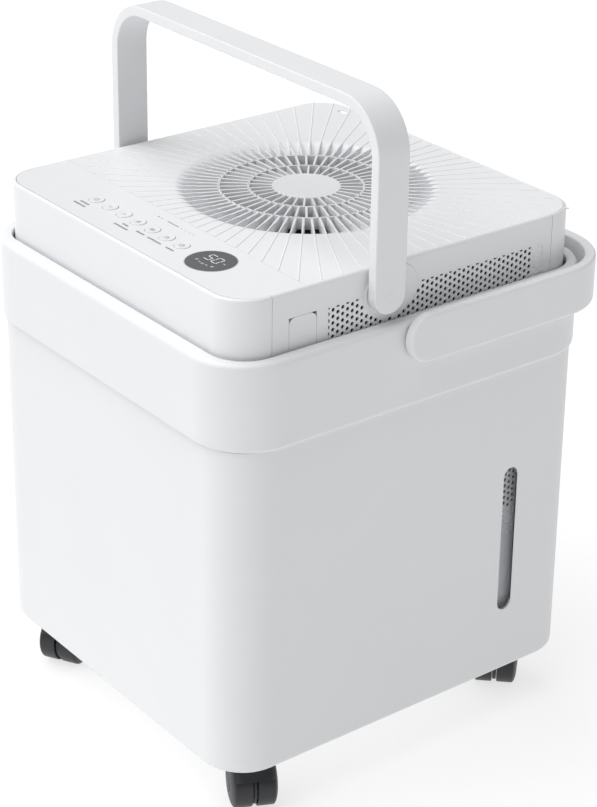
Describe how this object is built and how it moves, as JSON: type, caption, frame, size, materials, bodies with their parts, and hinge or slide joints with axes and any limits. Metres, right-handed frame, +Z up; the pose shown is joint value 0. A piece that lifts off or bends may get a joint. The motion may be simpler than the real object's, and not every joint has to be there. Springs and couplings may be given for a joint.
{
  "type": "dehumidifier",
  "caption": "Cube dehumidifier: drying unit with top fan grille, control strip and fold-down carry handle, nested in a wheeled water bucket with its own bail.",
  "frame": {"origin": "on the floor under the middle of the whole object's bounding box", "axes": "+Z up, front with the control strip towards -Y, side with the sight window towards +X"},
  "size_m": [0.38, 0.3888, 0.5878],
  "materials": {
    "casing_white": "satin moulded ABS",
    "bucket_white": "satin moulded polypropylene",
    "window_clear": "clear moulded lens",
    "pin_steel": "zinc plated",
    "socket_nylon": "moulded nylon",
    "display_smoke": "smoked acrylic",
    "board_green": "solder mask",
    "box_grey": "moulded",
    "pan_steel": "galvanised sheet",
    "compressor_black": "black enamel",
    "rubber_black": "moulded rubber",
    "coil_aluminium": "stamped fins",
    "line_copper": "drawn copper tube",
    "hose_clear": "soft vinyl",
    "motor_steel": "zinc plated can",
    "filter_mesh": "fine nylon mesh",
    "fan_grey": "moulded",
    "button_white": "satin",
    "caster_black": "moulded nylon"
  },
  "bodies": {
    "bucket": {"bucket": "bucket_white", "bucket_window": "window_clear", "bucket_handle_pins": "pin_steel", "caster_sockets": "socket_nylon"},
    "bail": {"bucket_handle": "bucket_white"},
    "unit": {"front_shell": "casing_white", "rear_shell": "casing_white", "side_panel_left": "casing_white", "side_panel_right": "casing_white", "top_cover": "casing_white", "display_lens": "display_smoke", "control_board": "board_green", "main_board": "board_green", "electronics_box": "box_grey", "base_pan": "pan_steel", "compressor": "compressor_black", "compressor_grommets": "rubber_black", "evaporator": "coil_aluminium", "condenser": "coil_aluminium", "drain_tray": "box_grey", "drain_pump": "compressor_black", "drain_hose": "hose_clear", "drain_port_cover": "casing_white", "fan_motor": "motor_steel", "fan_shroud": "box_grey", "air_filter_left": "filter_mesh", "air_filter_right": "filter_mesh", "run_capacitor": "motor_steel", "float_switch": "box_grey", "cord_gland": "rubber_black", "refrigerant_lines": "line_copper", "carry_handle_pins": "pin_steel", "base_feet": "rubber_black", "shell_screws": "pin_steel"},
    "handle": {"carry_handle": "casing_white"},
    "fan": {"fan_wheel": "fan_grey"},
    "float": {"float": "fan_grey"},
    "button_1_cap": {"button_1": "button_white"},
    "button_2_cap": {"button_2": "button_white"},
    "button_3_cap": {"button_3": "button_white"},
    "button_4_cap": {"button_4": "button_white"},
    "button_5_cap": {"button_5": "button_white"},
    "button_6_cap": {"button_6": "button_white"},
    "button_7_cap": {"button_7": "button_white"},
    "caster_front_left": {"caster_hood_front_left": "caster_black", "caster_axle_front_left": "pin_steel"},
    "wheel_front_left_near": {"caster_wheel_front_left_near": "caster_black"},
    "wheel_front_left_far": {"caster_wheel_front_left_far": "caster_black"},
    "caster_front_right": {"caster_hood_front_right": "caster_black", "caster_axle_front_right": "pin_steel"},
    "wheel_front_right_near": {"caster_wheel_front_right_near": "caster_black"},
    "wheel_front_right_far": {"caster_wheel_front_right_far": "caster_black"},
    "caster_back_left": {"caster_hood_back_left": "caster_black", "caster_axle_back_left": "pin_steel"},
    "wheel_back_left_near": {"caster_wheel_back_left_near": "caster_black"},
    "wheel_back_left_far": {"caster_wheel_back_left_far": "caster_black"},
    "caster_back_right": {"caster_hood_back_right": "caster_black", "caster_axle_back_right": "pin_steel"},
    "wheel_back_right_near": {"caster_wheel_back_right_near": "caster_black"},
    "wheel_back_right_far": {"caster_wheel_back_right_far": "caster_black"}
  },
  "joints": [
    {"name": "unit_lift", "type": "slide", "parent": "bucket", "child": "unit", "axis": [0, 0, 1], "range_m": [0, 0.56]},
    {"name": "bail_swing", "type": "hinge", "parent": "bucket", "child": "bail", "pos_m": [0, -0.01165, 0.396], "axis": [1, 0, 0], "range_deg": [0, 90]},
    {"name": "handle_fold", "type": "hinge", "parent": "unit", "child": "handle", "pos_m": [0, -0.04455, 0.4347], "axis": [1, 0, 0], "range_deg": [0, 90]},
    {"name": "fan_spin", "type": "hinge", "parent": "unit", "child": "fan", "pos_m": [0, 0.01235, 0.4], "axis": [0, 0, 1], "continuous": true},
    {"name": "float_rise", "type": "slide", "parent": "unit", "child": "float", "axis": [0, 0, 1], "range_m": [0, 0.012]},
    {"name": "button_1_press", "type": "slide", "parent": "unit", "child": "button_1_cap", "axis": [0, 0, -1], "range_m": [0, 0.001], "stiffness_N_per_m": 1500, "springref_m": -0.0006},
    {"name": "button_2_press", "type": "slide", "parent": "unit", "child": "button_2_cap", "axis": [0, 0, -1], "range_m": [0, 0.001], "stiffness_N_per_m": 1500, "springref_m": -0.0006},
    {"name": "button_3_press", "type": "slide", "parent": "unit", "child": "button_3_cap", "axis": [0, 0, -1], "range_m": [0, 0.001], "stiffness_N_per_m": 1500, "springref_m": -0.0006},
    {"name": "button_4_press", "type": "slide", "parent": "unit", "child": "button_4_cap", "axis": [0, 0, -1], "range_m": [0, 0.001], "stiffness_N_per_m": 1500, "springref_m": -0.0006},
    {"name": "button_5_press", "type": "slide", "parent": "unit", "child": "button_5_cap", "axis": [0, 0, -1], "range_m": [0, 0.001], "stiffness_N_per_m": 1500, "springref_m": -0.0006},
    {"name": "button_6_press", "type": "slide", "parent": "unit", "child": "button_6_cap", "axis": [0, 0, -1], "range_m": [0, 0.001], "stiffness_N_per_m": 1500, "springref_m": -0.0006},
    {"name": "button_7_press", "type": "slide", "parent": "unit", "child": "button_7_cap", "axis": [0, 0, -1], "range_m": [0, 0.001], "stiffness_N_per_m": 1500, "springref_m": -0.0006},
    {"name": "caster_front_left_swivel", "type": "hinge", "parent": "bucket", "child": "caster_front_left", "pos_m": [-0.1335, -0.14215, 0.05], "axis": [0, 0, 1], "continuous": true},
    {"name": "wheel_front_left_near_roll", "type": "hinge", "parent": "caster_front_left", "child": "wheel_front_left_near", "pos_m": [-0.1275, -0.15254, 0.022], "axis": [0.866, 0.5, 0], "continuous": true},
    {"name": "wheel_front_left_far_roll", "type": "hinge", "parent": "caster_front_left", "child": "wheel_front_left_far", "pos_m": [-0.1275, -0.15254, 0.022], "axis": [0.866, 0.5, 0], "continuous": true},
    {"name": "caster_front_right_swivel", "type": "hinge", "parent": "bucket", "child": "caster_front_right", "pos_m": [0.1335, -0.14215, 0.05], "axis": [0, 0, 1], "continuous": true},
    {"name": "wheel_front_right_near_roll", "type": "hinge", "parent": "caster_front_right", "child": "wheel_front_right_near", "pos_m": [0.14429, -0.14741, 0.022], "axis": [0.4384, 0.8988, 0], "continuous": true},
    {"name": "wheel_front_right_far_roll", "type": "hinge", "parent": "caster_front_right", "child": "wheel_front_right_far", "pos_m": [0.14429, -0.14741, 0.022], "axis": [0.4384, 0.8988, 0], "continuous": true},
    {"name": "caster_back_left_swivel", "type": "hinge", "parent": "bucket", "child": "caster_back_left", "pos_m": [-0.1335, 0.12685, 0.05], "axis": [0, 0, 1], "continuous": true},
    {"name": "wheel_back_left_near_roll", "type": "hinge", "parent": "caster_back_left", "child": "wheel_back_left_near", "pos_m": [-0.14478, 0.13095, 0.022], "axis": [-0.342, -0.9397, 0], "continuous": true},
    {"name": "wheel_back_left_far_roll", "type": "hinge", "parent": "caster_back_left", "child": "wheel_back_left_far", "pos_m": [-0.14478, 0.13095, 0.022], "axis": [-0.342, -0.9397, 0], "continuous": true},
    {"name": "caster_back_right_swivel", "type": "hinge", "parent": "bucket", "child": "caster_back_right", "pos_m": [0.1335, 0.12685, 0.05], "axis": [0, 0, 1], "continuous": true},
    {"name": "wheel_back_right_near_roll", "type": "hinge", "parent": "caster_back_right", "child": "wheel_back_right_near", "pos_m": [0.12487, 0.13519, 0.022], "axis": [-0.6947, -0.7193, 0], "continuous": true},
    {"name": "wheel_back_right_far_roll", "type": "hinge", "parent": "caster_back_right", "child": "wheel_back_right_far", "pos_m": [0.12487, 0.13519, 0.022], "axis": [-0.6947, -0.7193, 0], "continuous": true}
  ]
}
